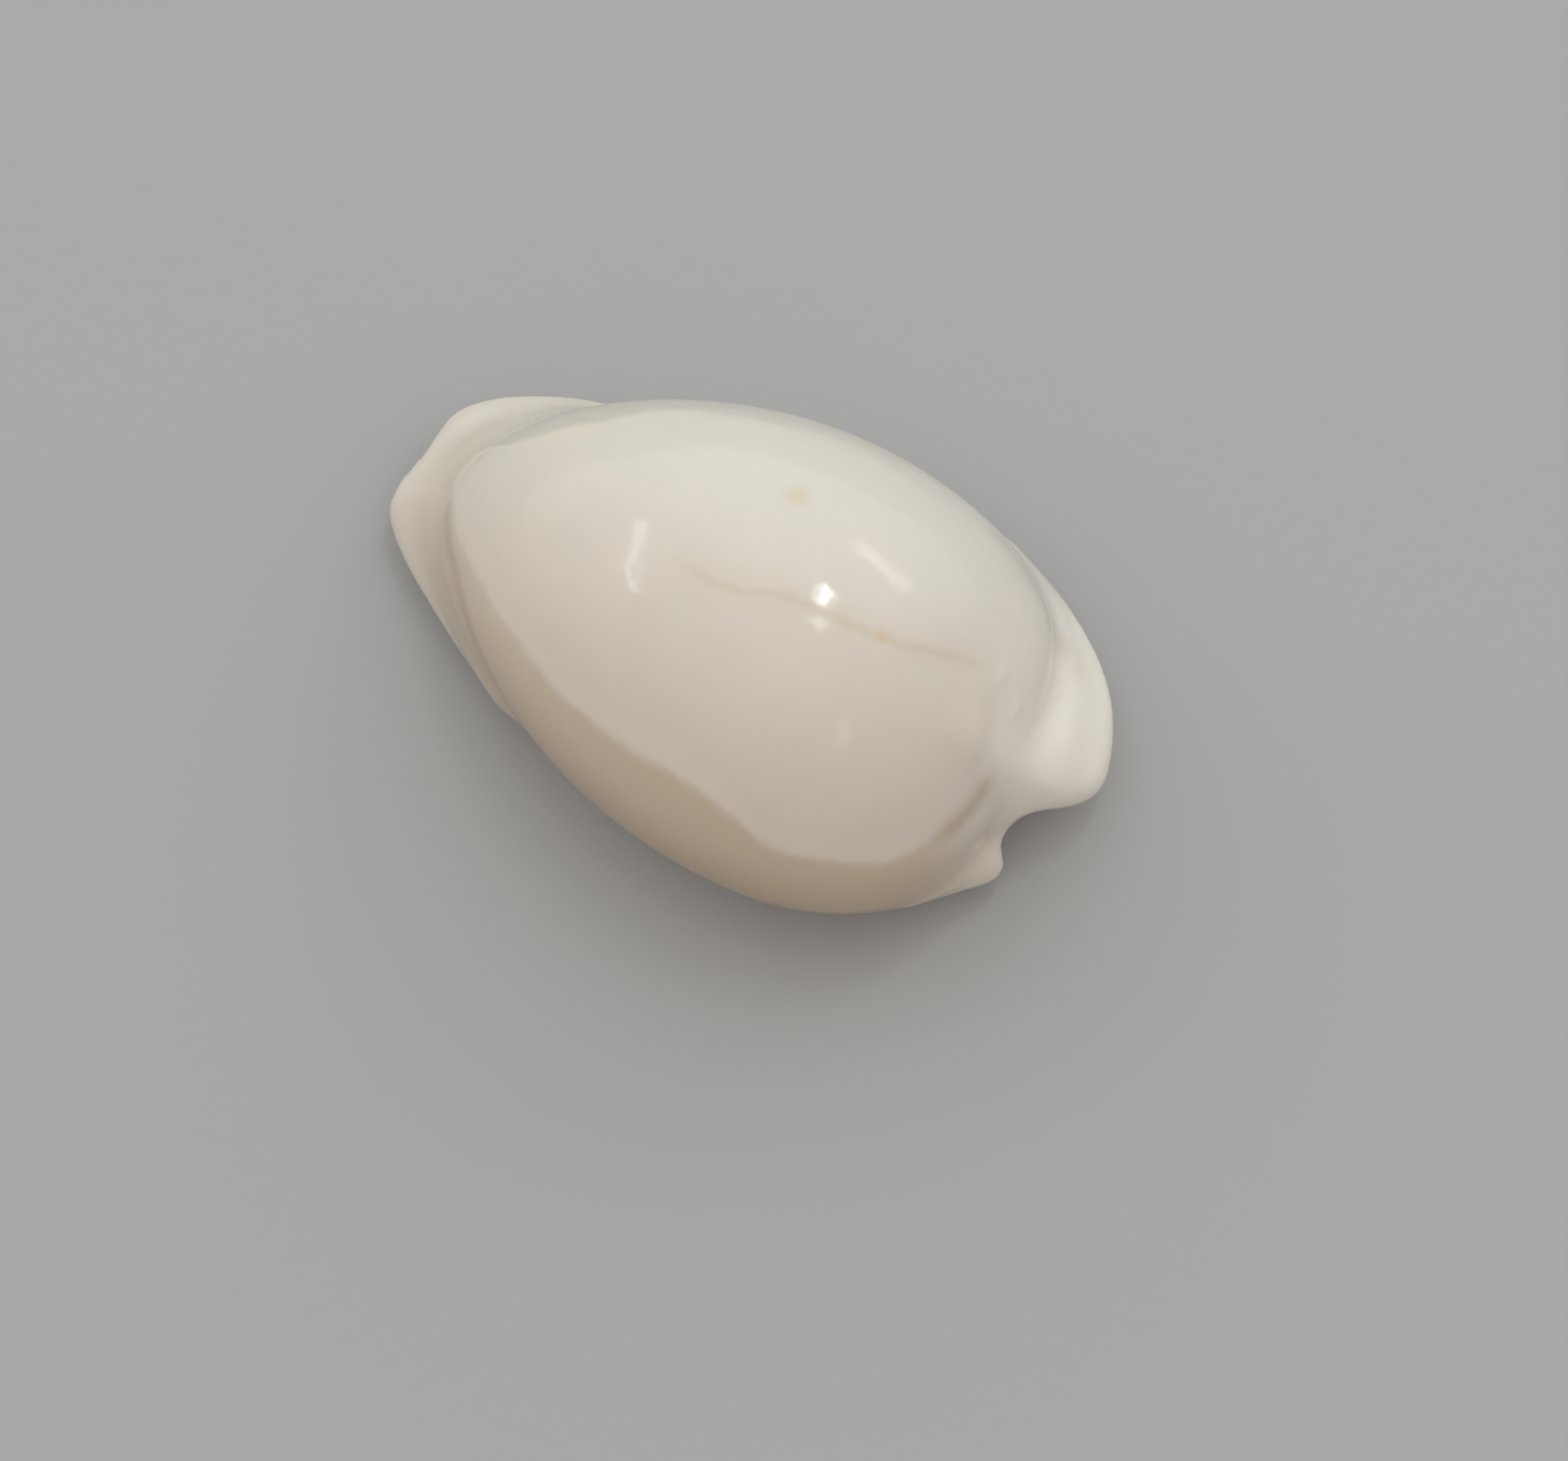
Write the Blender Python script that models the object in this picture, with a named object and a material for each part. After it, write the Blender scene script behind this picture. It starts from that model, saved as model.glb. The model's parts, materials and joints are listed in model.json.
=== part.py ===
"""A white cowrie shell, hollow and in one piece, lying on its base.

+X runs to the posterior (spire) end, +Y to the outer lip and +Z up through the back of the shell.
The origin is under the middle of the shell, on the plane that it rests on.

The shell is one loft. Profiles fan out from a spine inside the shell to every side, each in its
own plane. A profile starts at the top of the dome, comes down over the side and the marginal
callus, turns under to the lip of the aperture, goes up between the teeth and follows the wall of
the cavity back to the top. The two sides of the shell share their profiles at both canals.
"""

import math

import bmesh
import bpy
import numpy as np

# Sizes are millimetres; the finished mesh is scaled to metres.
MM = 0.001
NAME = "shell"

# Dome: the inflated body whorl, an egg lying on its side.
DOME_ANTERIOR_X = -19.2
DOME_POSTERIOR_X = 16.8
DOME_HALF_WIDTH = 12.9
DOME_TOP_Z = 20.4
DOME_BELLY_Z = 0.9
DOME_MIDDLE_Z = 7.6
DOME_HIGHEST_X = 0.5
DOME_SIDE_SHIFT = -0.6
DOME_SIDE_SLOPE = -0.037
DOME_FULLNESS = 0.222
DOME_BLUNTNESS = 0.35
OUTER_SHOULDER = 0.6
EGG_PEAK = 1.025
NOSE_ANTERIOR_Z = 4.9
NOSE_POSTERIOR_Z = 6.4

# Cavity: a smaller egg inside the dome, open only through the aperture.
WALL = 1.5
FLOOR_Z = 3.0
PREVIOUS_WHORL_BULGE = 0.3

# Spine that the profiles fan out from, and the flat spot that the shell rests on.
SPINE_Z = 4.3
REST_DEPTH = 0.2

# Ends of the canals, the lips and the teeth.
CANAL_ANTERIOR_X = -20.4
CANAL_POSTERIOR_X = 16.9
LIP_RADIUS = 0.75
TOOTH_FIRST_X = -16.6
TOOTH_LAST_X = 13.4
OUTER_TEETH = 13
INNER_TEETH = 12
TOOTH_RELIEF = 0.42
GROOVE_DEPTH = 0.38
TOOTH_REACH = 3.6

# Shallow groove over the sunken spire, on the posterior face of the dome.
SPIRE_FROM = (15.8, -2.8, 12.0)
SPIRE_TO = (15.1, -6.2, 11.4)
SPIRE_WIDTH = 0.8
SPIRE_DEPTH = 0.35

# Places along the shell from the anterior canal to the posterior canal. Each row gives the spine
# in plan, and then for the outer-lip side and again for the columellar side: the edge of the
# callus in plan, the lip of the aperture in plan, the top and the underside of the callus, and
# how wide the blend is where the dome meets the callus.
PLACES = [
    # spine | outer-lip side: edge, lip, top, under, blend | columellar side: the same
    (-13.20, 0.45, -21.79, 0.99, -20.30, 0.90, 5.00, 2.90, 0.90, -21.79, 0.99, -20.30, 0.90, 5.00, 2.90, 0.90),
    (-13.10, 0.45, -21.73, 2.03, -20.40, 1.50, 5.10, 2.00, 0.90, -22.16, -0.34, -20.80, 0.25, 5.10, 2.00, 0.90),
    (-12.90, 0.45, -21.67, 3.41, -20.00, 1.85, 5.20, 0.90, 0.90, -22.08, -1.91, -20.40, -0.35, 5.10, 0.90, 0.90),
    (-12.50, 0.45, -21.38, 5.04, -19.00, 2.00, 5.30, 0.40, 0.90, -20.59, -3.50, -19.20, -0.70, 5.10, 0.40, 0.90),
    (-11.80, 0.50, -19.63, 6.80, -17.50, 2.10, 5.50, 0.10, 1.00, -18.74, -4.83, -17.50, -0.75, 5.30, 0.10, 1.00),
    (-9.80, 0.65, -15.98, 8.60, -13.50, 2.15, 5.80, 0.00, 1.60, -14.62, -7.29, -13.50, -0.55, 5.70, 0.00, 1.80),
    (-7.10, 0.80, -10.80, 10.00, -9.50, 2.15, 6.00, 0.00, 2.60, -10.45, -9.14, -9.50, -0.35, 6.20, 0.00, 3.60),
    (-4.20, 0.90, -6.00, 11.40, -5.50, 2.15, 6.10, 0.00, 3.40, -5.99, -10.41, -5.50, -0.25, 6.60, 0.00, 5.00),
    (-1.20, 0.95, -1.60, 12.40, -1.50, 2.10, 6.20, 0.00, 3.80, -1.49, -10.97, -1.50, -0.20, 6.90, 0.00, 5.50),
    (1.80, 0.80, 2.80, 12.80, 2.50, 1.95, 6.30, 0.00, 3.80, 2.63, -11.12, 2.50, -0.30, 7.00, 0.00, 5.50),
    (4.80, 0.40, 7.30, 12.50, 6.50, 1.55, 6.30, 0.00, 3.20, 6.78, -10.84, 6.50, -0.70, 6.90, 0.00, 5.50),
    (7.60, -0.30, 11.80, 11.40, 10.50, 0.80, 6.20, 0.00, 2.60, 10.77, -9.73, 10.50, -1.50, 6.50, 0.00, 5.20),
    (9.80, -1.20, 15.77, 9.50, 14.00, -0.50, 6.30, 0.00, 2.40, 14.48, -8.74, 14.00, -2.70, 6.00, 0.00, 4.80),
    (10.90, -1.70, 18.30, 7.43, 15.40, -0.95, 6.80, 0.20, 3.20, 16.28, -6.99, 15.20, -3.20, 5.60, 0.20, 4.60),
    (11.50, -2.00, 20.00, 4.91, 16.30, -1.05, 7.40, 0.40, 4.60, 17.62, -5.74, 16.00, -3.75, 5.20, 0.50, 4.40),
    (11.90, -2.15, 20.94, 1.75, 16.80, -1.05, 7.80, 0.70, 5.60, 17.95, -4.73, 16.40, -3.90, 5.00, 1.10, 4.20),
    (12.20, -2.25, 20.07, 0.17, 16.95, -1.30, 7.80, 1.30, 5.80, 17.23, -3.95, 16.40, -3.70, 5.20, 1.90, 4.40),
    (12.40, -2.30, 18.89, -0.75, 16.80, -1.75, 7.50, 2.20, 5.50, 16.38, -3.38, 16.30, -3.35, 5.50, 2.50, 4.60),
    (12.50, -2.30, 16.99, -1.81, 16.50, -2.30, 6.80, 2.80, 5.20, 16.03, -2.98, 16.30, -3.00, 5.80, 2.80, 4.70),
    (12.60, -2.30, 16.03, -2.52, 16.30, -2.70, 6.20, 3.00, 4.90, 16.03, -2.52, 16.30, -2.70, 6.20, 3.00, 4.90),
]
FIRST_TOOTHED, LAST_TOOTHED = 4, 12

# Profiles between neighbouring places, and the rings of each profile.
PROFILES_AT_CANAL = 2
PROFILES_ALONG_LIP = 7
TOP_TO_CREASE = (0.0, 0.05, 0.18, 0.34, 0.5, 0.65, 0.79, 0.91, 1.0)
CREASE_TO_EDGE = (0.25, 0.5, 0.76, 1.0)
UNDER_EDGE = (0.32, 0.66, 1.0)
BASE = (0.16, 0.32, 0.47, 0.61, 0.74, 0.86, 0.94, 1.0)
THROAT = (0.5, 1.0)
CAVITY = (0.2, 0.4, 0.58, 0.74, 0.88, 1.0)


def smooth_through(rows, at):
    """A smooth curve through the rows, read at fractional row numbers."""
    rows = np.asarray(rows, float)
    at = np.asarray(at, float)
    last = len(rows) - 1
    low = np.clip(np.floor(at).astype(int), 0, last - 1)
    t = (at - low)[:, None]
    before = rows[np.maximum(low - 1, 0)]
    start, end = rows[low], rows[low + 1]
    after = rows[np.minimum(low + 2, last)]
    return 0.5 * (
        2 * start
        + (end - before) * t
        + (2 * before - 5 * start + 4 * end - after) * t**2
        + (3 * start - before - 3 * end + after) * t**3
    )


def ease(value, low, high):
    """0 below low, 1 above high, and a smooth step between them."""
    t = np.clip((value - low) / (high - low), 0.0, 1.0)
    return t * t * (3 - 2 * t)


def smooth_max(a, b, blend):
    """The larger of a and b, with the corner between them filled over a width of blend."""
    near = np.maximum(blend - np.abs(a - b), 0.0) / blend
    return np.maximum(a, b) + near * near * blend / 4


def egg(x, y, anterior_x, posterior_x):
    """How wide an egg between two noses is at x, as a share of its greatest width."""
    middle, half = (anterior_x + posterior_x) / 2, (posterior_x - anterior_x) / 2
    along = np.clip((x - middle) / half, -0.99999, 0.99999)
    toward_posterior = np.maximum(along, 0.0)
    blunt = 1 + DOME_BLUNTNESS * toward_posterior**3
    blunt = blunt + OUTER_SHOULDER * ease(y, 0.0, 6.0) * toward_posterior**6
    return np.sqrt((1 - along**2) * blunt) * (1 + DOME_FULLNESS * along) / EGG_PEAK


def side_shift(x):
    """How far to the side the middle of the dome lies at x."""
    return DOME_SIDE_SHIFT + DOME_SIDE_SLOPE * x


def middle_height(x):
    """Height of the line from nose to nose through the middle of the dome."""
    anterior = np.clip((x - DOME_HIGHEST_X) / (DOME_ANTERIOR_X - DOME_HIGHEST_X), 0.0, 1.0)
    posterior = np.clip((x - DOME_HIGHEST_X) / (DOME_POSTERIOR_X - DOME_HIGHEST_X), 0.0, 1.0)
    return (
        DOME_MIDDLE_Z
        + (NOSE_ANTERIOR_Z - DOME_MIDDLE_Z) * anterior**2.5
        + (NOSE_POSTERIOR_Z - DOME_MIDDLE_Z) * posterior**2.5
    )


def outside_dome(point):
    """Below 0 inside the dome, above 0 outside it."""
    x, y, z = point[..., 0], point[..., 1] - side_shift(point[..., 0]), point[..., 2]
    share = egg(x, y, DOME_ANTERIOR_X, DOME_POSTERIOR_X)
    middle = middle_height(x)
    up = (DOME_TOP_Z - DOME_MIDDLE_Z) * share
    down = (middle - DOME_BELLY_Z) * share
    height = np.where(z > middle, up, down)
    beyond = np.maximum(DOME_ANTERIOR_X - x, x - DOME_POSTERIOR_X)
    inside = (y / (DOME_HALF_WIDTH * share)) ** 2 + ((z - middle) / height) ** 2 - 1
    return np.where(beyond > 0, 10.0, inside)


def outside_cavity(point):
    """Below 0 inside the cavity, above 0 in the wall."""
    x, y, z = point[..., 0], point[..., 1] - side_shift(point[..., 0]), point[..., 2]
    anterior, posterior = DOME_ANTERIOR_X + 2.4 * WALL, DOME_POSTERIOR_X - 1.3 * WALL
    share = egg(x, y, anterior, posterior)
    middle = middle_height(x)
    up = (DOME_TOP_Z - DOME_MIDDLE_Z - WALL) * share
    down = middle - FLOOR_Z
    height = np.where(z > middle, up, down)
    beyond = np.maximum(anterior - x, x - posterior)
    inside = (y / ((DOME_HALF_WIDTH - WALL) * share)) ** 2 + ((z - middle) / height) ** 2 - 1
    return np.where(beyond > 0, 10.0, inside)


def spire_groove(point):
    """Depth of the groove over the spire at a point of the outer surface."""
    start, end = np.array(SPIRE_FROM), np.array(SPIRE_TO)
    along = np.clip((point - start) @ (end - start) / ((end - start) @ (end - start)), 0.0, 1.0)
    away = np.linalg.norm(point - start - along[..., None] * (end - start), axis=-1)
    return SPIRE_DEPTH * np.exp(-((away / SPIRE_WIDTH) ** 2))


def reach(field, start, direction, far=32.0, steps=34):
    """Distance from start, along direction, to where field turns from inside to outside."""
    low = np.zeros(direction.shape[:-1])
    high = np.full(direction.shape[:-1], far)
    for _ in range(steps):
        middle = (low + high) / 2
        inside = field(start + direction * middle[..., None]) < 0
        low = np.where(inside, middle, low)
        high = np.where(inside, high, middle)
    return low


def unit(vector):
    """The vector at length 1."""
    return vector / np.linalg.norm(vector, axis=-1, keepdims=True)


def turn(first, second, shares):
    """Directions that turn evenly from first to second: (profiles, shares, 3)."""
    first, second = unit(first)[:, None, :], unit(second)[:, None, :]
    angle = np.arccos(np.clip((first * second).sum(-1, keepdims=True), -1, 1))
    share = np.atleast_2d(shares)[..., None]
    return (np.sin((1 - share) * angle) * first + np.sin(share * angle) * second) / np.sin(angle)


def profile_places():
    """Fractional row numbers in PLACES, one for each profile of one side."""
    places = []
    for row in range(len(PLACES) - 1):
        toothed = FIRST_TOOTHED <= row < LAST_TOOTHED
        count = PROFILES_ALONG_LIP if toothed else PROFILES_AT_CANAL
        places.extend(row + np.arange(count) / count)
    return np.array([*places, len(PLACES) - 1.0])


def teeth(x, count):
    """1 on the crest of a tooth and 0 in the groove beside it, fading out past the last tooth."""
    pitch = (TOOTH_LAST_X - TOOTH_FIRST_X) / count
    wave = 0.5 - 0.5 * np.cos((x - TOOTH_FIRST_X) / pitch * 2 * math.pi)
    present = ease(x, TOOTH_FIRST_X - pitch, TOOTH_FIRST_X)
    present = present * (1 - ease(x, TOOTH_LAST_X, TOOTH_LAST_X + pitch))
    return wave, present


class Side:
    """The profiles of one side of the shell, from the anterior canal to the posterior canal."""

    def __init__(self, is_outer_lip):
        rows = smooth_through(PLACES, profile_places())
        first = 2 if is_outer_lip else 9
        self.is_outer_lip = is_outer_lip
        self.spine = np.column_stack([rows[:, 0], rows[:, 1], np.full(len(rows), SPINE_Z)])
        self.edge = rows[:, first : first + 2]
        self.lip = rows[:, first + 2 : first + 4]
        self.top = rows[:, first + 4]
        self.under = np.maximum(rows[:, first + 5], 0.0)
        self.crease = rows[:, first + 6]

    def outward(self):
        """Level directions from the spine to the edge of the callus, and how far away it is."""
        flat = np.column_stack([self.edge - self.spine[:, :2], np.zeros(len(self.edge))])
        return unit(flat), np.linalg.norm(flat, axis=1)

    def dome_and_callus(self, direction):
        """Distances from the spine to the dome and to the callus."""
        start = self.spine[:, None, :]
        _, extent = self.outward()
        middle = ((self.top + self.under) / 2)[:, None]
        half = ((self.top - self.under) / 2)[:, None]

        def outside_callus(point):
            flat = np.linalg.norm((point - start)[..., :2], axis=-1) / extent[:, None]
            high = np.abs(point[..., 2] - middle) / half
            return flat**2.6 + high**2.2 - 1

        return reach(outside_dome, start, direction), reach(outside_callus, start, direction)

    def upper_shares(self, upward, to_edge):
        """Shares of the turn from the top to the edge, with one ring along the crease."""
        tried = np.linspace(0.4, 0.94, 55)
        dome, callus = self.dome_and_callus(turn(upward, to_edge, tried))
        crease = np.where((callus > dome).any(axis=1), tried[(callus > dome).argmax(axis=1)], 0.9)
        crease[1:-1] = (crease[:-2] + crease[1:-1] + crease[2:]) / 3
        crease[1:-1] = (crease[:-2] + crease[1:-1] + crease[2:]) / 3
        crease = crease[:, None]
        above = crease * np.array(TOP_TO_CREASE)
        below = crease + (1 - crease) * np.array(CREASE_TO_EDGE)
        return np.concatenate([above, below], axis=1)

    def outer_radius(self, direction):
        """Distance from the spine to the outside of the shell: the dome or the callus."""
        start = self.spine[:, None, :]
        dome, callus = self.dome_and_callus(direction)
        level = ease(direction[..., 2], -0.35, 0.05)
        radius = smooth_max(dome, callus, self.crease[:, None] * level + 0.05)
        return radius - spire_groove(start + direction * radius[..., None])

    def outside(self):
        """Points of the outer surface, from the top of the dome to the lip."""
        outward, extent = self.outward()
        count = len(self.edge)
        upward = np.tile([0.0, 0.0, 1.0], (count, 1))
        middle = (self.top + self.under) / 2
        to_edge = outward * extent[:, None] + upward * (middle - SPINE_Z)[:, None]
        lip = np.column_stack([self.lip, self.under]) - self.spine
        under_limit = math.radians(-24)
        edge_angle = np.arctan2(middle - SPINE_Z, extent)
        lip_angle = np.arctan2(lip[:, 2], np.linalg.norm(lip[:, :2], axis=1))
        below_angle = np.maximum(under_limit, edge_angle + 0.45 * (lip_angle - edge_angle))
        below = outward * np.cos(below_angle)[:, None] + upward * np.sin(below_angle)[:, None]
        directions = np.concatenate(
            [
                turn(upward, to_edge, self.upper_shares(upward, to_edge)),
                turn(to_edge, below, UNDER_EDGE),
                turn(below, lip, BASE),
            ],
            axis=1,
        )
        radius = self.outer_radius(directions)
        points = self.spine[:, None, :] + directions * radius[..., None]
        return self.round_lip(points)

    def round_lip(self, points):
        """Rolls the last rings of the base up into the aperture, and cuts the grooves there."""
        lip = points[:, -1:, :]
        away = np.linalg.norm((points - lip)[..., :2], axis=-1)
        run = away[:, -len(BASE)]
        radius = np.minimum(LIP_RADIUS, 0.4 * run)[:, None]
        base = np.zeros(points.shape[:2], bool)
        base[:, -len(BASE) :] = True
        inward = np.clip(radius - away, 0.0, radius)
        roll = radius - np.sqrt(np.maximum(radius**2 - inward**2, 0.0))
        wave, present = teeth(self.lip[:, 0], OUTER_TEETH if self.is_outer_lip else INNER_TEETH)
        groove = GROOVE_DEPTH * (1 - wave) * present
        near = 1 - ease(away, 0.8, TOOTH_REACH)
        points[..., 2] += np.where(base, roll + groove[:, None] * near, 0.0)
        across = 1.0 if self.is_outer_lip else -1.0
        shift = across * TOOTH_RELIEF * (0.4 - wave) * present
        points[..., 1] += np.where(base, shift[:, None] * (1 - ease(away, 0.0, 1.2)), 0.0)
        return points

    def throat(self, lip):
        """Where the wall of the aperture meets the floor of the cavity."""
        ends = np.where(lip[:, 0] < 0, CANAL_ANTERIOR_X, CANAL_POSTERIOR_X)
        share = 1 - 0.24 * np.abs(lip[:, 0] / ends) ** 3
        x = lip[:, 0] * share
        y = self.spine[:, 1] + (self.lip[:, 1] - self.spine[:, 1]) * share
        z = np.maximum(FLOOR_Z - 0.2, self.under + 0.6)
        return np.column_stack([x, y, z])

    def inside(self, lip):
        """Points of the inner surface, from the lip up to the roof of the cavity."""
        throat = self.throat(lip)
        share = np.asarray(THROAT)[None, :, None]
        wall = lip[:, None, :] * (1 - share) + throat[:, None, :] * share
        upward = np.tile([0.0, 0.0, 1.0], (len(lip), 1))
        start = self.spine + upward * (middle_height(self.spine[:, 0]) - 1.0 - SPINE_Z)[:, None]
        directions = turn(throat - start, upward, CAVITY)
        radius = reach(outside_cavity, start[:, None, :], directions)
        if not self.is_outer_lip:
            level = np.exp(-((directions[..., 2] + 0.1) ** 2) / 0.12)
            sideways = np.clip(-directions[..., 1], 0.0, 1.0)
            along = np.sin(np.linspace(0, math.pi, len(lip)))[:, None]
            radius = radius * (1 - PREVIOUS_WHORL_BULGE * level * sideways * along)
        return wall, start[:, None, :] + directions * radius[..., None]

    def surface(self):
        """All points of this side: (profiles, rings, 3)."""
        outside = self.outside()
        wall, cavity = self.inside(outside[:, -1, :])
        return np.concatenate([outside, wall, cavity], axis=1)


def settle(points):
    """Rests the shell on its flat spot and puts the origin under its middle."""
    points = points.copy()
    points[..., 2] = np.maximum(points[..., 2] - REST_DEPTH, 0.0)
    low, high = points.reshape(-1, 3).min(0), points.reshape(-1, 3).max(0)
    points[..., :2] -= (low[:2] + high[:2]) / 2
    return points


def loft(grids):
    """One closed mesh from the two sides, sewn together along the spine and at the canals."""
    mesh = bpy.data.meshes.new(NAME)
    built = bmesh.new()
    for grid, flip in grids:
        verts = [[built.verts.new(point * MM) for point in profile] for profile in grid]
        for a, b in zip(verts, verts[1:]):
            for ring in range(len(a) - 1):
                corners = [a[ring], a[ring + 1], b[ring + 1], b[ring]]
                built.faces.new(corners[::-1] if flip else corners)
    bmesh.ops.remove_doubles(built, verts=built.verts, dist=1e-6)
    bmesh.ops.dissolve_degenerate(built, edges=built.edges, dist=1e-6)
    bmesh.ops.recalc_face_normals(built, faces=built.faces)
    built.to_mesh(mesh)
    built.free()
    return mesh


def porcelain():
    """Glossy ivory-white shell enamel."""
    material = bpy.data.materials.new("white_enamel")
    material.use_nodes = True
    shader = material.node_tree.nodes["Principled BSDF"]
    shader.inputs["Base Color"].default_value = (0.70, 0.64, 0.55, 1.0)
    shader.inputs["Roughness"].default_value = 0.18
    shader.inputs["Metallic"].default_value = 0.0
    return material


def main():
    """Clears the scene and builds the shell."""
    for old in list(bpy.data.objects):
        bpy.data.objects.remove(old)
    collection = bpy.data.collections.new("cowrie_shell")
    bpy.context.scene.collection.children.link(collection)
    both = settle(np.stack([Side(True).surface(), Side(False).surface()]))
    mesh = loft([(both[0], False), (both[1], True)])
    mesh.shade_smooth()
    mesh.materials.append(porcelain())
    collection.objects.link(bpy.data.objects.new(NAME, mesh))


main()
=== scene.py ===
"""Looks of a white cowrie shell lying on a pale studio floor.

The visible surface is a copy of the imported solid. Its triangles are joined, paired into quads and
subdivided. It is then laid out again in small even facets, relaxed, and given the low relief of a
real shell. Its enamel is glossy and procedural. Sizes are in millimetres unless a name says
otherwise, and places are in the frame of the part: +X to the posterior end, +Y to the outer lip,
+Z up.
"""

import json
import logging
import math
from collections.abc import Callable
from dataclasses import dataclass
from enum import Enum
from typing import Any

import bpy
import numpy as np
from mathutils import Matrix, Vector

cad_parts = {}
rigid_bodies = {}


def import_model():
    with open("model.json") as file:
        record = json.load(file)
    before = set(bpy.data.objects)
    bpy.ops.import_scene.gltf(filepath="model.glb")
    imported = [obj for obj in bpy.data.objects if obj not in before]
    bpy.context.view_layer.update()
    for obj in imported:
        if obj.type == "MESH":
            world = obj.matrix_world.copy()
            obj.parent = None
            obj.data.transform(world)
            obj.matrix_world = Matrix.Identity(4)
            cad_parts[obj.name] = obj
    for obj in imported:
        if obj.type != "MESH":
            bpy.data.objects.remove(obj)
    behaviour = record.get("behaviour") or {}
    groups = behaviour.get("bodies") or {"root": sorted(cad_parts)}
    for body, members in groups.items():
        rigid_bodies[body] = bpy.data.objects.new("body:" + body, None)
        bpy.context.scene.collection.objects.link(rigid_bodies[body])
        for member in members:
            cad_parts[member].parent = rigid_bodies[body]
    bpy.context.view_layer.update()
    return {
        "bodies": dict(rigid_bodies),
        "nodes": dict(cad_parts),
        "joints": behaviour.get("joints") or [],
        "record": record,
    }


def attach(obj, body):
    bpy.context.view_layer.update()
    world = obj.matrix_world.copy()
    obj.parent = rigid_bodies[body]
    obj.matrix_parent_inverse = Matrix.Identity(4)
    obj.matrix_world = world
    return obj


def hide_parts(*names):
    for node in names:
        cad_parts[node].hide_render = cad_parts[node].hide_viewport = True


MM = 0.001
PHOTO_WIDTH_PX = 1988
SENSOR_WIDTH_MM = 36.0
WEIGHT_STEPS = 10
log = logging.getLogger("cowrie")

Point = tuple[float, float, float]
Node = bpy.types.Node
Socket = bpy.types.NodeSocket
Places = dict[str, Socket]
NodeTree = bpy.types.NodeTree
Mesh = bpy.types.Mesh
Object = bpy.types.Object
Material = bpy.types.Material


def linear(code: str) -> tuple[float, float, float, float]:
    """Turns an sRGB hex colour into linear values.

    Args:
        code: The colour, such as "#E8E0D0".

    Returns:
        Red, green, blue and an alpha of 1, all linear.
    """
    channels = [int(code[i : i + 2], 16) / 255 for i in (1, 3, 5)]
    values = [c / 12.92 if c <= 0.04045 else ((c + 0.055) / 1.055) ** 2.4 for c in channels]
    return values[0], values[1], values[2], 1.0


def add_node(tree: NodeTree, kind: str, inputs: dict[Any, Any] | None = None, **settings: Any) -> Node:
    """Adds one node with its settings and links.

    Args:
        tree: The node tree of a material or world.
        kind: Blender's name for the node type.
        inputs: For an input's name or number, the socket that feeds it or its fixed value.
        settings: Properties of the node itself, such as operation="ADD". On a node with a curve,
            points are the curve's points from left to right, both values between 0 and 1.

    Returns:
        The new node.
    """
    node = tree.nodes.new(kind)
    points = settings.pop("points", ())
    for name, value in settings.items():
        setattr(node, name, value)
    if points:
        curve = node.mapping.curves[0]
        while len(curve.points) < len(points):
            curve.points.new(0.5, 0.5)
        for point, place in zip(curve.points, points):
            point.location = place
        node.mapping.update()
    for key, value in (inputs or {}).items():
        if isinstance(value, Socket):
            tree.links.new(value, node.inputs[key])
        else:
            node.inputs[key].default_value = value
    return node


def deselect_all() -> None:
    """Leaves object mode with nothing selected."""
    if bpy.context.object and bpy.context.object.mode != "OBJECT":
        bpy.ops.object.mode_set(mode="OBJECT")
    bpy.ops.object.select_all(action="DESELECT")


class Side(Enum):
    """Which way a stroke moves the surface."""

    SUNK = -1.0
    RAISED = 1.0


@dataclass(frozen=True)
class Stroke:
    """A soft groove or ridge along a line on the shell, and the tan tint in it: a real mark on
    some, painted shade in the creases.

    Attributes:
        points: Places that the stroke runs through.
        width: Distance from the line at which it has mostly faded.
        height: How far the surface moves at the line.
        side: Whether the surface sinks or rises.
        stain_and_shade: How strongly it is tinted tan, from 0 to 1: growth lines and old dirt on
            the marks, painted shade in the creases.
    """

    points: tuple[Point, ...]
    width: float
    height: float = 0.0
    side: Side = Side.SUNK
    stain_and_shade: float = 0.0

    def fade(self, places: np.ndarray) -> np.ndarray:
        """Gives the stroke's strength at each place.

        Args:
            places: Vertex places, one row each.

        Returns:
            1 on the line, falling smoothly to 0 beside it.
        """
        line = np.array(self.points, float)
        if len(line) == 1:
            line = np.repeat(line, 2, axis=0)
        nearest = np.full(len(places), 1e9)
        for start, end in zip(line, line[1:]):
            run = end - start
            share = np.clip((places - start) @ run / max(run @ run, 1e-9), 0.0, 1.0)
            away = np.linalg.norm(places - start - share[:, None] * run, axis=1)
            nearest = np.minimum(nearest, away)
        return np.exp(-((nearest / self.width) ** 2))


@dataclass(frozen=True)
class Fade:
    """Where a tone begins to show, and where it shows in full.

    Attributes:
        start: Where it begins.
        full: Where it shows in full.
        share: How much of it shows there, from 0 to 1.
    """

    start: float
    full: float
    share: float = 1.0

    def inputs(self, value: Socket) -> dict[str, Any]:
        """Gives a Map Range node's inputs for this fade."""
        return {"Value": value, "From Min": self.start, "From Max": self.full, "To Max": self.share}


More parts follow.
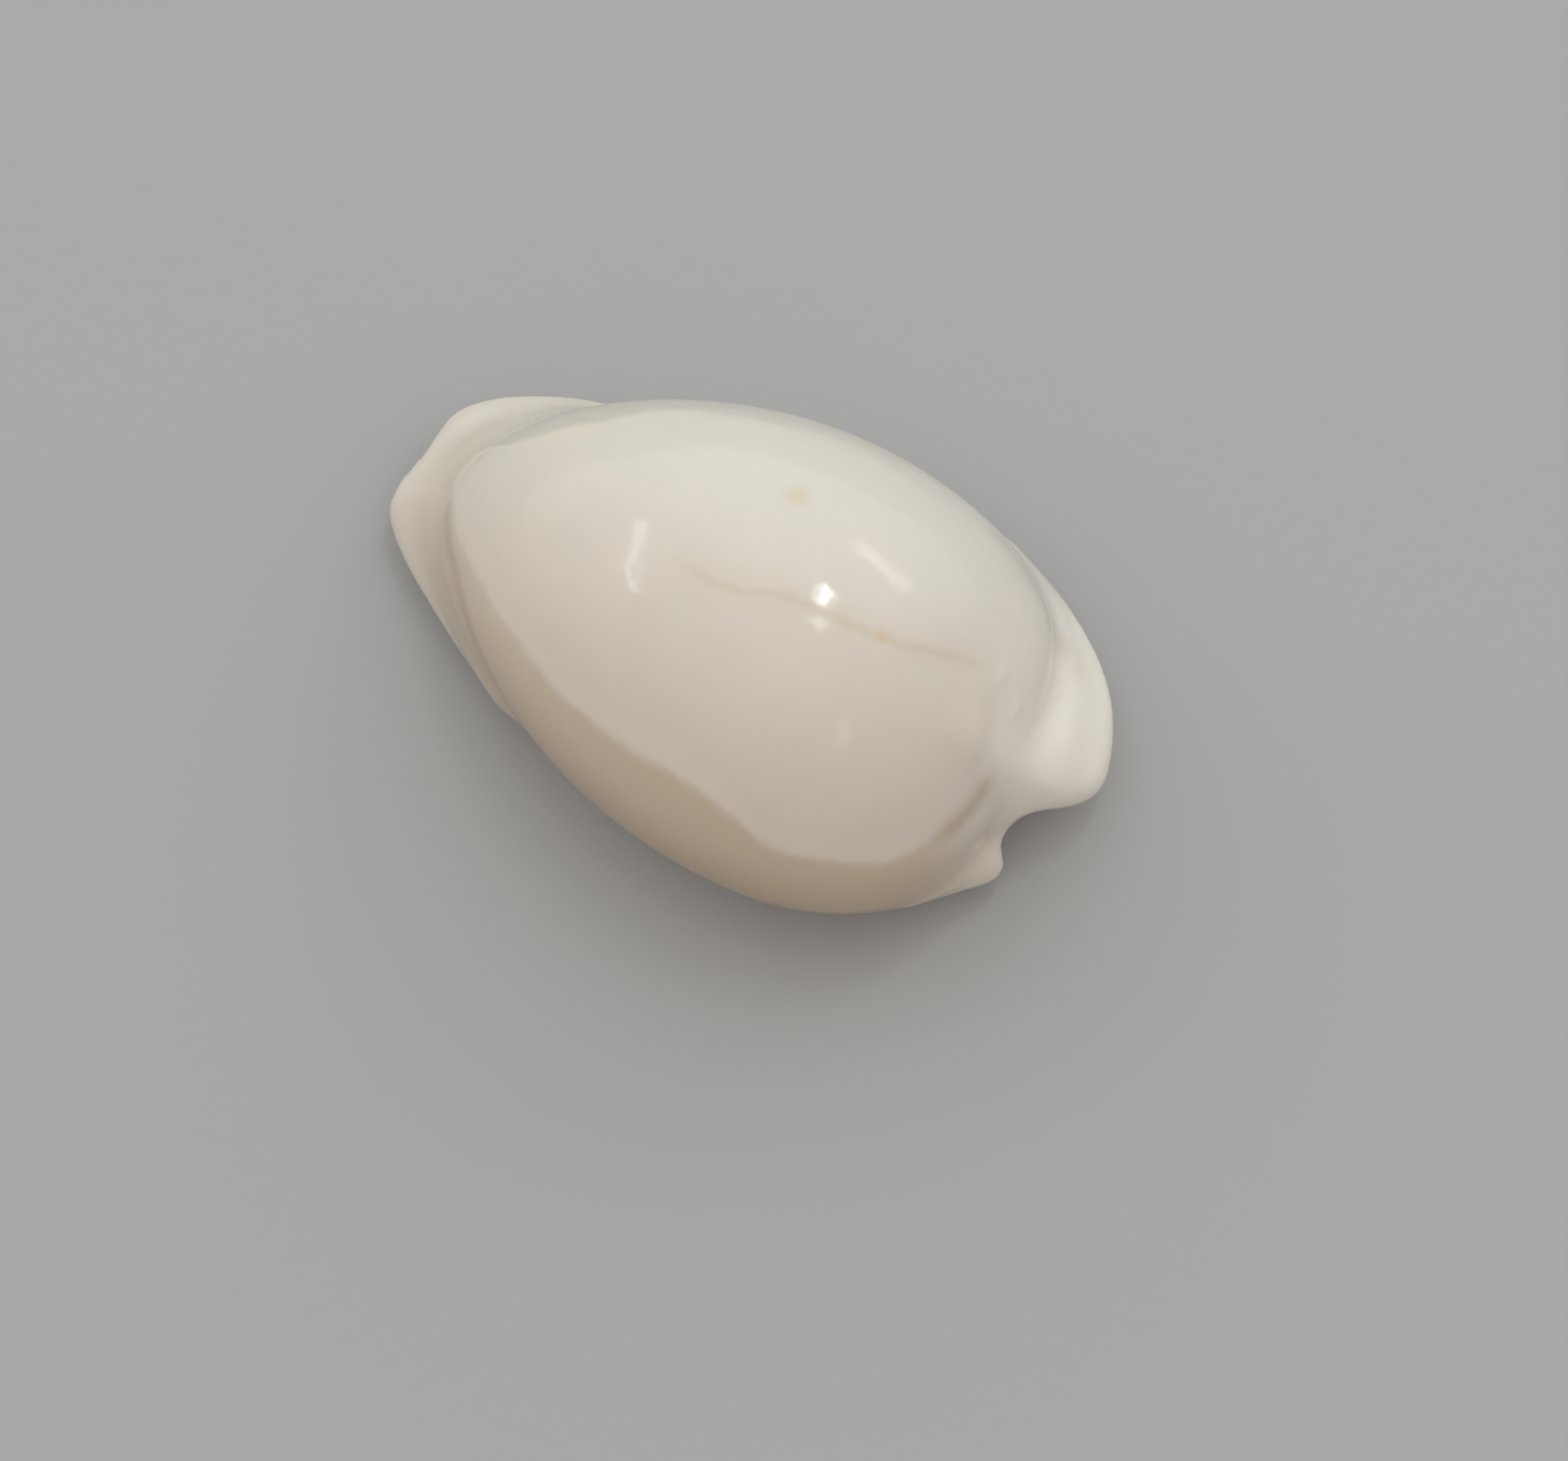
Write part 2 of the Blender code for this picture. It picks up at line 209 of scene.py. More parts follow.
@dataclass(frozen=True)
class ShellEnamel:
    """Porcelain-like enamel of a cowrie: aragonite laid down in glossy layers by the mantle.

    It gives the eye a hard wet shine over a slightly translucent ivory, warmer where the layers
    are thin, with a faint line where the two halves of the mantle met. Some light and shade is
    painted into its colour: a lighter wavy edge with a darker band under it, a whiter posterior
    lobe, a cooler outer-lip side and shade in the creases.

    Attributes:
        ivory: The back of the shell.
        pearl: The cooler white of the outer-lip side, partly painted light: the cool key light falls
            on that side.
        warm: The warmer, darker band under the lighter edge, on the columellar side: partly the
            shell's warmer tone, partly painted shade.
        deep_tone_and_shade: The lowest part of that band, darker still: painted shade on the lower
            flank, partly the shell's warmer tone.
        grey_shade: The greyer band under the edge, on the outer-lip side: painted shade and a
            painted dark reflection.
        margin: The thick white margin.
        callus_and_painted_light: The whitest part of it, the lobe beside the posterior canal: partly
            its own white, partly painted light from the posterior side.
        rim: The wavy lighter edge, partly the edge of the last enamel layer and partly the painted
            edge of the sky's reflection, and the lighter clouds in the enamel.
        tan: Growth lines and dirt on the marks, and painted shade in the creases.
        ochre: The line along the back.
        lemon: The small yellow spots.
        ior: Refractive index of aragonite under its organic skin.
        polish: Roughness of the glossiest and the dullest enamel.
        subsurface_share: How much of the light enters the enamel.
        subsurface_reach: How far light spreads inside it.
        pearl_across: Where pearl takes over from ivory, by y.
        clouds_per_mm: How fine the lighter clouds are.
        clouds: Where they show, by the strength of their noise.
        margin_height: Where the margin's white takes over, by z.
        callus_along: Where the lobe's white takes over, by x.
        callus_across: The same, by y.
        turn_offset: How far behind the origin the middle lies that turns are counted round.
        edge_unit: The height that 1 stands for in edge_of_enamel_and_sheen.
        edge_of_enamel_and_sheen: Height of the lighter edge at each turn round the shell, from 0 at
            the anterior end past the columellar side to 1 there again. It is partly the enamel's edge
            and partly the painted edge of the sky's reflection.
        wobbles_per_mm: How fine the edge's wandering is.
        rim_wobble: How far the edge wanders up and down.
        under_edge: Where the band takes over under the edge, by the height above it.
        band_strength: How strongly the band shows, at each turn.
        band_foot: Where the band fades into the margin, by z.
        band_across: Where grey_shade takes over from warm, by y.
        band_depth: Where deep_tone_and_shade takes over from warm, by z.
        rim_outside: Where the lighter edge begins, by the height above it.
        rim_width: Width of the lighter edge.
        rim_inside: How far beyond and short of that width it fades.
        rim_share: How strongly it shows.
        line_width: Half the width of the line along the back.
        line_start: Place along x where back_line begins.
        line_length: How far it runs along x.
        line_low: Place along y that 0 stands for in it.
        line_span: How far 1 lies from there.
        back_line: Place across of the line along the back, at each share of its length.
        jitters_per_mm: How fine the line's unevenness is.
        line_jitter: How far it is thrown aside.
        line_share: How strongly the line shows.
        glow_share: How strongly the wider glow round it shows.
        line_ends: Where the line fades out at its two ends, by x.
        line_height: Where it is high enough to show, by z.
        spots: Place and radius of each yellow spot.
        spot_heart: Radius within which a spot shows in full.
        spot_share: How strongly it shows.
        dulls_per_mm: How fine the duller clouds of the polish are.
        waves_per_mm: How fine the enamel's waves are.
        wave_height: How high they are.
    """

    ivory: str = "#E2D8CA"
    pearl: str = "#E3DDD1"
    warm: str = "#D5C4A8"
    deep_tone_and_shade: str = "#C5AF91"
    grey_shade: str = "#CCC4B3"
    margin: str = "#E4DCCE"
    callus_and_painted_light: str = "#F8F1E3"
    rim: str = "#EDE1CE"
    tan: str = "#A98A5C"
    ochre: str = "#C6AC78"
    lemon: str = "#DCC389"
    ior: float = 1.53
    polish: tuple[float, float] = (0.09, 0.15)
    subsurface_share: float = 0.2
    subsurface_reach: float = 1.2
    pearl_across: Fade = Fade(-4.0, 8.0)
    clouds_per_mm: float = 0.16
    clouds: Fade = Fade(0.42, 0.72, 0.35)
    margin_height: Fade = Fade(6.4, 4.2)
    callus_along: Fade = Fade(12.0, 17.0)
    callus_across: Fade = Fade(-3.0, -0.3)
    turn_offset: float = 0.5
    edge_unit: float = 20.0
    edge_of_enamel_and_sheen: tuple[tuple[float, float], ...] = (
        (0.0, 0.4),
        (0.023, 0.476),
        (0.047, 0.551),
        (0.078, 0.6),
        (0.106, 0.635),
        (0.15, 0.663),
        (0.196, 0.7),
        (0.246, 0.727),
        (0.286, 0.74),
        (0.326, 0.711),
        (0.351, 0.658),
        (0.378, 0.645),
        (0.413, 0.602),
        (0.442, 0.6),
        (0.514, 0.64),
        (0.56, 0.72),
        (0.608, 0.79),
        (0.672, 0.74),
        (0.739, 0.727),
        (0.809, 0.725),
        (0.873, 0.68),
        (0.912, 0.661),
        (0.944, 0.608),
        (0.969, 0.511),
        (0.981, 0.35),
        (1.0, 0.4),
    )
    wobbles_per_mm: float = 0.3
    rim_wobble: float = 0.6
    under_edge: Fade = Fade(0.3, -0.7)
    band_strength: tuple[tuple[float, float], ...] = (
        (0.0, 0.38),
        (0.06, 0.52),
        (0.15, 0.78),
        (0.3, 0.92),
        (0.4, 0.85),
        (0.45, 0.25),
        (0.5, 0.0),
        (0.6, 0.0),
        (0.7, 0.25),
        (0.8, 0.4),
        (0.9, 0.6),
        (0.97, 0.6),
        (1.0, 0.38),
    )
    band_foot: Fade = Fade(2.4, 5.8)
    band_across: Fade = Fade(-4.0, 4.0)
    band_depth: Fade = Fade(12.5, 7.5)
    rim_outside: Fade = Fade(-0.35, 0.2)
    rim_width: float = 0.8
    rim_inside: tuple[float, float] = (1.0, 0.4)
    rim_share: float = 0.65
    line_width: float = 0.5
    line_start: float = -6.0
    line_length: float = 22.0
    line_low: float = -2.75
    line_span: float = 6.0
    back_line: tuple[tuple[float, float], ...] = (
        (0.0, 0.36),
        (0.112, 0.338),
        (0.29, 0.298),
        (0.385, 0.42),
        (0.48, 0.46),
        (0.589, 0.49),
        (0.657, 0.52),
        (0.733, 0.593),
        (0.856, 0.772),
        (1.0, 0.95),
    )
    jitters_per_mm: float = 0.8
    line_jitter: float = 0.5
    line_share: float = 0.17
    glow_share: float = 0.09
    line_ends: tuple[Fade, Fade] = (Fade(-4.6, -1.0), Fade(15.0, 11.5))
    line_height: Fade = Fade(13.0, 15.5)
    spots: tuple[tuple[float, float, float, float], ...] = (
        (0.85, 5.38, 18.85, 1.2),
        (-17.3, 2.1, 8.5, 0.7),
        (8.5, 0.15, 19.6, 0.6),
    )
    spot_heart: float = 0.1
    spot_share: float = 0.42
    dulls_per_mm: float = 0.5
    waves_per_mm: float = 0.33
    wave_height: float = 0.07

    def build(self) -> Material:
        """Builds the enamel.

        Returns:
            The material.
        """
        material = bpy.data.materials.new("shell_enamel")
        material.use_nodes = True
        tree = material.node_tree
        shader = tree.nodes["Principled BSDF"]
        place = self.place_in_mm(tree)
        colour = self.ground(tree, place)
        colour = self.edge(tree, place, colour)
        colour = self.line_along_back(tree, place, colour)
        colour = self.yellow_spots(tree, place, colour)
        colour = self.creases(tree, colour)
        tree.links.new(colour, shader.inputs["Base Color"])
        tree.links.new(self.gloss(tree, place), shader.inputs["Roughness"])
        tree.links.new(self.undulation(tree, place), shader.inputs["Normal"])
        # polished aragonite: a clear white shine on top, and light that spreads a little below it
        shader.inputs["IOR"].default_value = self.ior
        shader.inputs["Subsurface Weight"].default_value = self.subsurface_share
        # red light goes furthest, which warms the thin edges
        shader.inputs["Subsurface Radius"].default_value = (1.0, 0.72, 0.5)
        shader.inputs["Subsurface Scale"].default_value = self.subsurface_reach * MM
        return material

    def place_in_mm(self, tree: NodeTree) -> Places:
        """Gives the place on the shell in millimetres.

        Args:
            tree: The material's nodes.

        Returns:
            The sockets of the whole place and of its x, y and z.
        """
        object_place = add_node(tree, "ShaderNodeTexCoord").outputs["Object"]
        scaled = add_node(
            tree, "ShaderNodeVectorMath", {0: object_place, "Scale": 1000.0}, operation="SCALE"
        ).outputs[0]
        apart = add_node(tree, "ShaderNodeSeparateXYZ", {0: scaled})
        return {"all": scaled, "x": apart.outputs[0], "y": apart.outputs[1], "z": apart.outputs[2]}

    def ground(self, tree: NodeTree, place: Places) -> Socket:
        """Gives the enamel's broad colour: ivory, cooler toward the outer lip, white margin, whiter
        posterior lobe. The cooler side and the whiter lobe are partly painted light.

        Args:
            tree: The material's nodes.
            place: The place on the shell.

        Returns:
            The socket of the colour.
        """
        # cooler white toward the outer lip: partly painted light, the cool key light on that side
        outer_lip = add_node(
            tree,
            "ShaderNodeMapRange",
            self.pearl_across.inputs(place["y"]),
            interpolation_type="SMOOTHSTEP",
        ).outputs[0]
        colour = add_node(
            tree,
            "ShaderNodeMix",
            {0: outer_lip, 6: linear(self.ivory), 7: linear(self.pearl)},
            data_type="RGBA",
        ).outputs[2]
        # clouds some 6 mm across, where the layers are thicker
        cloud = add_node(
            tree,
            "ShaderNodeTexNoise",
            {"Vector": place["all"], "Scale": self.clouds_per_mm, "Detail": 3.0},
        ).outputs[0]
        cloudy = add_node(tree, "ShaderNodeMapRange", self.clouds.inputs(cloud)).outputs[0]
        colour = add_node(
            tree, "ShaderNodeMix", {0: cloudy, 6: colour, 7: linear(self.rim)}, data_type="RGBA"
        ).outputs[2]
        low = add_node(
            tree,
            "ShaderNodeMapRange",
            self.margin_height.inputs(place["z"]),
            interpolation_type="SMOOTHSTEP",
        ).outputs[0]
        colour = add_node(
            tree, "ShaderNodeMix", {0: low, 6: colour, 7: linear(self.margin)}, data_type="RGBA"
        ).outputs[2]
        # whiter lobe at the posterior end: partly its own white, partly painted light from that side
        behind = add_node(
            tree,
            "ShaderNodeMapRange",
            self.callus_along.inputs(place["x"]),
            interpolation_type="SMOOTHSTEP",
        ).outputs[0]
        outer = add_node(
            tree,
            "ShaderNodeMapRange",
            self.callus_across.inputs(place["y"]),
            interpolation_type="SMOOTHSTEP",
        ).outputs[0]
        lobe = add_node(tree, "ShaderNodeMath", {0: behind, 1: outer}, operation="MULTIPLY").outputs[0]
        return add_node(
            tree, "ShaderNodeMix", {0: lobe, 6: colour, 7: linear(self.callus_and_painted_light)}, data_type="RGBA"
        ).outputs[2]

    def edge(self, tree: NodeTree, place: Places, colour: Socket) -> Socket:
        """Draws the wavy lighter edge and the darker band under it: the edge is partly the last enamel
        layer's and partly the painted edge of the sky's reflection, and the band is partly the
        shell's warmer tone and partly painted shade.

        Args:
            tree: The material's nodes.
            place: The place on the shell.
            colour: The colour so far.

        Returns:
            The socket of the colour with the band and the lighter edge.
        """
        turn = self.turn_round_shell(tree, place)
        above = self.height_above_edge(tree, place, turn)
        # darker band under the edge: partly the shell's warmer tone, partly painted shade
        strength = add_node(
            tree, "ShaderNodeFloatCurve", {"Value": turn}, points=self.band_strength
        ).outputs[0]
        colour = self.band(tree, place, above, strength, colour)
        # lighter wavy edge: partly the enamel's edge, partly the painted edge of the sky's reflection
        outside = add_node(
            tree,
            "ShaderNodeMapRange",
            self.rim_outside.inputs(above),
            interpolation_type="SMOOTHSTEP",
        ).outputs[0]
        beyond, short = self.rim_inside
        inside = add_node(
            tree,
            "ShaderNodeMapRange",
            Fade(self.rim_width + beyond, self.rim_width - short).inputs(above),
            interpolation_type="SMOOTHSTEP",
        ).outputs[0]
        faded = add_node(
            tree, "ShaderNodeMath", {0: strength, 1: self.rim_share}, operation="MULTIPLY"
        ).outputs[0]
        rim = add_node(tree, "ShaderNodeMath", {0: outside, 1: inside}, operation="MULTIPLY").outputs[0]
        rim = add_node(tree, "ShaderNodeMath", {0: rim, 1: faded}, operation="MULTIPLY").outputs[0]
        return add_node(
            tree, "ShaderNodeMix", {0: rim, 6: colour, 7: linear(self.rim)}, data_type="RGBA"
        ).outputs[2]

    def turn_round_shell(self, tree: NodeTree, place: Places) -> Socket:
        """Gives how far round the shell a place is.

        Args:
            tree: The material's nodes.
            place: The place on the shell.

        Returns:
            The socket of the turn, from 0 at the anterior end to 1 there again.
        """
        moved = add_node(
            tree, "ShaderNodeMath", {0: place["x"], 1: self.turn_offset}, operation="ADD"
        ).outputs[0]
        angle = add_node(
            tree, "ShaderNodeMath", {0: place["y"], 1: moved}, operation="ARCTAN2"
        ).outputs[0]
        return add_node(
            tree, "ShaderNodeMath", {0: angle, 1: 0.5 / math.pi, 2: 0.5}, operation="MULTIPLY_ADD"
        ).outputs[0]

    def height_above_edge(self, tree: NodeTree, place: Places, turn: Socket) -> Socket:
        """Gives how far above the enamel's edge a place is.

        Args:
            tree: The material's nodes.
            place: The place on the shell.
            turn: How far round the shell it is.

        Returns:
            The socket of the height, below 0 under the edge.
        """
        edge = add_node(
            tree, "ShaderNodeFloatCurve", {"Value": turn}, points=self.edge_of_enamel_and_sheen
        ).outputs[0]
        waves = add_node(
            tree,
            "ShaderNodeTexNoise",
            {"Vector": place["all"], "Scale": self.wobbles_per_mm, "Detail": 4.0, "Roughness": 0.62},
        ).outputs[0]
        height = add_node(
            tree,
            "ShaderNodeMath",
            {0: edge, 1: -self.edge_unit, 2: place["z"]},
            operation="MULTIPLY_ADD",
        ).outputs[0]
        above = add_node(
            tree,
            "ShaderNodeMath",
            {0: waves, 1: 2 * self.rim_wobble, 2: height},
            operation="MULTIPLY_ADD",
        ).outputs[0]
        return add_node(
            tree, "ShaderNodeMath", {0: above, 1: self.rim_wobble}, operation="SUBTRACT"
        ).outputs[0]

    def band(
        self, tree: NodeTree, place: Places, above: Socket, strength: Socket, colour: Socket
    ) -> Socket:
        """Draws the darker band under the lighter edge: partly the shell's warmer tone, partly painted
        shade, and greyer toward the outer lip as a painted dark reflection.

        Args:
            tree: The material's nodes.
            place: The place on the shell.
            above: How far above the edge it is.
            strength: How strongly the band shows there.
            colour: The colour so far.

        Returns:
            The socket of the colour with the band.
        """
        under = add_node(
            tree,
            "ShaderNodeMapRange",
            self.under_edge.inputs(above),
            interpolation_type="SMOOTHSTEP",
        ).outputs[0]
        raised = add_node(
            tree,
            "ShaderNodeMapRange",
            self.band_foot.inputs(place["z"]),
            interpolation_type="SMOOTHSTEP",
        ).outputs[0]
        share = add_node(
            tree, "ShaderNodeMath", {0: under, 1: strength}, operation="MULTIPLY"
        ).outputs[0]
        share = add_node(
            tree, "ShaderNodeMath", {0: share, 1: raised}, operation="MULTIPLY"
        ).outputs[0]
        # darker low on the flank: painted shade, partly the shell's warmer tone
        low = add_node(
            tree,
            "ShaderNodeMapRange",
            self.band_depth.inputs(place["z"]),
            interpolation_type="SMOOTHSTEP",
        ).outputs[0]
        band = add_node(
            tree,
            "ShaderNodeMix",
            {0: low, 6: linear(self.warm), 7: linear(self.deep_tone_and_shade)},
            data_type="RGBA",
        ).outputs[2]
        # greyer toward the outer lip: painted shade and a painted dark reflection
        outer_lip = add_node(tree, "ShaderNodeMapRange", self.band_across.inputs(place["y"])).outputs[0]
        band = add_node(
            tree, "ShaderNodeMix", {0: outer_lip, 6: band, 7: linear(self.grey_shade)}, data_type="RGBA"
        ).outputs[2]
        return add_node(
            tree, "ShaderNodeMix", {0: share, 6: colour, 7: band}, data_type="RGBA"
        ).outputs[2]

    def line_along_back(self, tree: NodeTree, place: Places, colour: Socket) -> Socket:
        """Draws the faint ochre line where the two halves of the mantle met.

        Args:
            tree: The material's nodes.
            place: The place on the shell.
            colour: The colour so far.

        Returns:
            The socket of the colour with the line.
        """
        away = self.distance_from_line(tree, place)
        line = add_node(
            tree,
            "ShaderNodeMapRange",
            Fade(self.line_width, 0.0, self.line_share).inputs(away),
            interpolation_type="SMOOTHSTEP",
        ).outputs[0]
        glow = add_node(
            tree,
            "ShaderNodeMapRange",
            Fade(4 * self.line_width, 0.0, self.glow_share).inputs(away),
            interpolation_type="SMOOTHSTEP",
        ).outputs[0]
        line = add_node(tree, "ShaderNodeMath", {0: line, 1: glow}, operation="ADD").outputs[0]
        for end in self.line_ends:
            ends = add_node(
                tree, "ShaderNodeMapRange", end.inputs(place["x"]), interpolation_type="SMOOTHSTEP"
            ).outputs[0]
            line = add_node(tree, "ShaderNodeMath", {0: line, 1: ends}, operation="MULTIPLY").outputs[0]
        upper = add_node(tree, "ShaderNodeMapRange", self.line_height.inputs(place["z"])).outputs[0]
        line = add_node(tree, "ShaderNodeMath", {0: line, 1: upper}, operation="MULTIPLY").outputs[0]
        return add_node(
            tree, "ShaderNodeMix", {0: line, 6: colour, 7: linear(self.ochre)}, data_type="RGBA"
        ).outputs[2]

    def distance_from_line(self, tree: NodeTree, place: Places) -> Socket:
        """Gives how far to either side of the line along the back a place is.

        Args:
            tree: The material's nodes.
            place: The place on the shell.

        Returns:
            The socket of the distance.
        """
        along = add_node(
            tree,
            "ShaderNodeMath",
            {0: place["x"], 1: 1 / self.line_length, 2: -self.line_start / self.line_length},
            operation="MULTIPLY_ADD",
        ).outputs[0]
        curve = add_node(
            tree, "ShaderNodeFloatCurve", {"Value": along}, points=self.back_line
        ).outputs[0]
        across = add_node(
            tree,
            "ShaderNodeMath",
            {0: curve, 1: -self.line_span, 2: place["y"]},
            operation="MULTIPLY_ADD",
        ).outputs[0]
        jitter = add_node(
            tree,
            "ShaderNodeTexNoise",
            {"Vector": place["all"], "Scale": self.jitters_per_mm, "Detail": 3.0},
        ).outputs[0]
        across = add_node(
            tree,
            "ShaderNodeMath",
            {0: jitter, 1: self.line_jitter, 2: across},
            operation="MULTIPLY_ADD",
        ).outputs[0]
        across = add_node(
            tree, "ShaderNodeMath", {0: across, 1: -self.line_low}, operation="ADD"
        ).outputs[0]
        return add_node(tree, "ShaderNodeMath", {0: across}, operation="ABSOLUTE").outputs[0]

    def yellow_spots(self, tree: NodeTree, place: Places, colour: Socket) -> Socket:
        """Draws the small yellow spots.

        Args:
            tree: The material's nodes.
            place: The place on the shell.
            colour: The colour so far.

        Returns:
            The socket of the colour with the spots.
        """
        for x, y, z, radius in self.spots:
            away = add_node(
                tree, "ShaderNodeVectorMath", {0: place["all"], 1: (x, y, z)}, operation="DISTANCE"
            ).outputs["Value"]
            spot = add_node(
                tree,
                "ShaderNodeMapRange",
                Fade(radius, self.spot_heart, self.spot_share).inputs(away),
                interpolation_type="SMOOTHSTEP",
            ).outputs[0]
            colour = add_node(
                tree, "ShaderNodeMix", {0: spot, 6: colour, 7: linear(self.lemon)}, data_type="RGBA"
            ).outputs[2]
        return colour

    def creases(self, tree: NodeTree, colour: Socket) -> Socket:
        """Tints the creases and the mark over the spire with the tan that the mesh carries: painted
        shade in the creases, a real mark over the spire.

        Args:
            tree: The material's nodes.
            colour: The colour so far.

        Returns:
            The socket of the colour with the tan tint and the painted shade.
        """
        # tan of the real marks, and painted shade in the creases
        stain_and_shade = add_node(tree, "ShaderNodeAttribute", attribute_name="stain_and_shade").outputs["Fac"]
        return add_node(
            tree, "ShaderNodeMix", {0: stain_and_shade, 6: colour, 7: linear(self.tan)}, data_type="RGBA"
        ).outputs[2]

    def gloss(self, tree: NodeTree, place: Places) -> Socket:
        """Gives the roughness: a high polish with slightly duller clouds, 2 mm across.

        Args:
            tree: The material's nodes.
            place: The place on the shell.

        Returns:
            The socket of the roughness.
        """
        cloud = add_node(
            tree,
            "ShaderNodeTexNoise",
            {"Vector": place["all"], "Scale": self.dulls_per_mm, "Detail": 4.0},
        ).outputs[0]
        glossy, dull = self.polish
        return add_node(
            tree,
            "ShaderNodeMapRange",
            {"Value": cloud, "From Min": 0.3, "From Max": 0.7, "To Min": glossy, "To Max": dull},
        ).outputs[0]

    def undulation(self, tree: NodeTree, place: Places) -> Socket:
        """Gives the slight waves of the enamel, about 3 mm apart, that break up its highlights.

        Args:
            tree: The material's nodes.
            place: The place on the shell.

        Returns:
            The socket of the normal.
        """
        waves = add_node(
            tree,
            "ShaderNodeTexNoise",
            {"Vector": place["all"], "Scale": self.waves_per_mm, "Detail": 2.0},
        ).outputs[0]
        return add_node(
            tree,
            "ShaderNodeBump",
            {"Strength": 1.0, "Distance": self.wave_height * MM, "Height": waves},
        ).outputs[0]


@dataclass(frozen=True)
class StudioPaper:
    """Seamless studio paper, pressed and uncoated, pale and slightly warm.

    It gives the eye a soft shadow and no shine.

    Attributes:
        shade: Its colour.
        roughness: How matt it is.
        grains_per_m: How fine its grain is.
        grain_height: How high the grain is.
    """

    shade: str = "#B3B2B0"
    roughness: float = 0.85
    grains_per_m: float = 900.0
    grain_height: float = 0.05

    def build(self) -> Material:
        """Builds the paper.

        Returns:
            The material.
        """
        material = bpy.data.materials.new("studio_paper")
        material.use_nodes = True
        tree = material.node_tree
        shader = tree.nodes["Principled BSDF"]
        place = add_node(tree, "ShaderNodeTexCoord").outputs["Object"]
        # real paper's fibres are some 0.05 mm across: drawn about 1 mm across, so that they show
        grain = add_node(
            tree, "ShaderNodeTexNoise", {"Vector": place, "Scale": self.grains_per_m, "Detail": 4.0}
        ).outputs[0]
        shader.inputs["Base Color"].default_value = linear(self.shade)
        shader.inputs["Roughness"].default_value = self.roughness
        bump = add_node(
            tree,
            "ShaderNodeBump",
            {"Strength": 0.3, "Distance": self.grain_height * MM, "Height": grain},
        )
        tree.links.new(bump.outputs[0], shader.inputs["Normal"])
        return material


